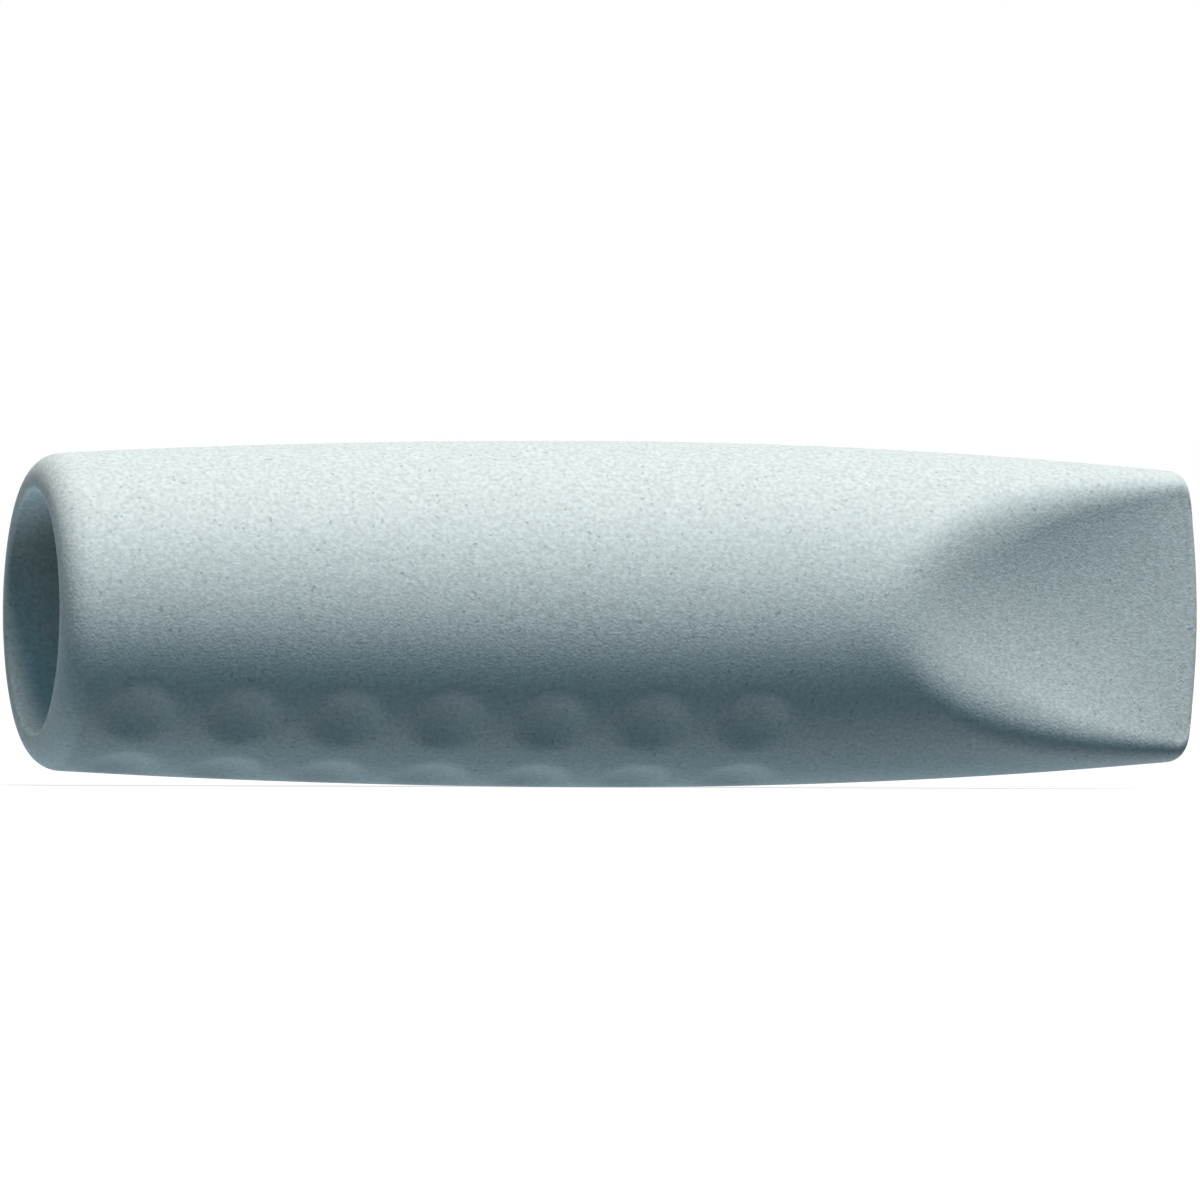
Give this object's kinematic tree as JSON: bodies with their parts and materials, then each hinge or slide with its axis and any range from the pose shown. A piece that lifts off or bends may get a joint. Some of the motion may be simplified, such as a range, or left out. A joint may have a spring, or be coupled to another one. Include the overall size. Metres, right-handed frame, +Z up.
{
  "type": "pencil eraser topper",
  "caption": "Slip-on pencil eraser cap: a crowned rubber sleeve with a blind round bore and a chisel tip with two dished scoops.",
  "frame": {"origin": "on the axis at the floor of the bore, where the end of the pencil seats", "axes": "+X along the axis from the mouth to the chisel tip; +Z up as the part lies on its side, with the rows of dimples underneath; the scooped flats of the tip face -Y and +Y"},
  "size_m": [0.0448, 0.013, 0.013],
  "materials": {
    "eraser_rubber": "matte blue-grey eraser rubber with a fine speckle"
  },
  "bodies": {
    "root": {"eraser_cap": "eraser_rubber"}
  },
  "joints": []
}
